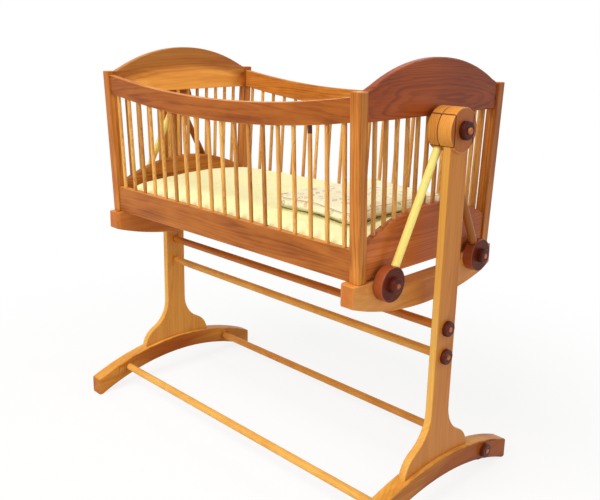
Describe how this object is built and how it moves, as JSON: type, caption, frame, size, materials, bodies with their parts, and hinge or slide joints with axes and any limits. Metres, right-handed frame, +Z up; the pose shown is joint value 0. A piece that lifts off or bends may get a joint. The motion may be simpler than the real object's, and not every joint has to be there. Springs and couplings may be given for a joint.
{
  "type": "swinging cradle on stand",
  "caption": "Slatted wooden baby cradle with arched end panels, hung from two pivots on a stand with arched feet, so that it swings sideways.",
  "frame": {"origin": "on the floor, at the middle of the stand", "axes": "+X along the cradle and the swing axis, +Y across it in the direction of the swing, +Z up"},
  "size_m": [1.14, 0.635, 1.0829],
  "materials": {
    "golden_wood": "satin varnish",
    "cherry_wood": "satin varnish",
    "dark_cherry_wood": "satin varnish",
    "birch_wood": "satin varnish",
    "walnut": "satin varnish",
    "pale_plug": "satin varnish",
    "zinc_steel": "zinc plated",
    "plywood": "bare sanded",
    "printed_cotton": "matte woven"
  },
  "bodies": {
    "stand": {"foot_left": "golden_wood", "foot_right": "golden_wood", "upright_left": "golden_wood", "upright_right": "golden_wood", "head_core_left": "cherry_wood", "head_core_right": "cherry_wood", "head_cheeks_left": "cherry_wood", "head_cheeks_right": "cherry_wood", "upper_stretcher_high": "golden_wood", "upper_stretcher_low": "golden_wood", "foot_stretcher_front": "golden_wood", "foot_stretcher_back": "golden_wood", "stretcher_screws": "zinc_steel", "upright_buttons": "walnut", "foot_buttons": "walnut", "upright_button_plugs": "pale_plug", "foot_button_plugs": "pale_plug", "pivot_bolts": "zinc_steel", "pivot_nuts": "zinc_steel", "pivot_caps": "walnut", "pivot_cap_plugs": "pale_plug"},
    "cradle": {"post_front_left": "cherry_wood", "post_front_right": "cherry_wood", "post_back_left": "cherry_wood", "post_back_right": "cherry_wood", "side_top_rail_front": "cherry_wood", "side_top_rail_back": "cherry_wood", "side_bottom_rail_front": "cherry_wood", "side_bottom_rail_back": "cherry_wood", "side_spindles_front": "birch_wood", "side_spindles_back": "birch_wood", "end_panel_left": "cherry_wood", "end_panel_right": "dark_cherry_wood", "end_bottom_rail_left": "cherry_wood", "end_bottom_rail_right": "dark_cherry_wood", "end_spindles_left": "birch_wood", "end_spindles_right": "birch_wood", "cross_beam_left": "golden_wood", "cross_beam_right": "golden_wood", "post_screws": "zinc_steel", "hanger_hub_left": "cherry_wood", "hanger_hub_right": "cherry_wood", "hub_cheeks_left": "cherry_wood", "hub_cheeks_right": "cherry_wood", "hanger_dowels_left": "birch_wood", "hanger_dowels_right": "birch_wood", "hanger_discs_left": "walnut", "hanger_discs_right": "walnut", "disc_screws": "zinc_steel", "disc_buttons": "walnut", "disc_button_plugs": "pale_plug", "base_board": "plywood", "base_cleats": "birch_wood", "cleat_screws": "zinc_steel", "mattress": "printed_cotton", "pillow": "printed_cotton"}
  },
  "joints": [
    {"name": "cradle_swing", "type": "hinge", "parent": "stand", "child": "cradle", "pos_m": [0, 0, 0.928], "axis": [1, 0, 0], "range_deg": [-18, 18]}
  ]
}
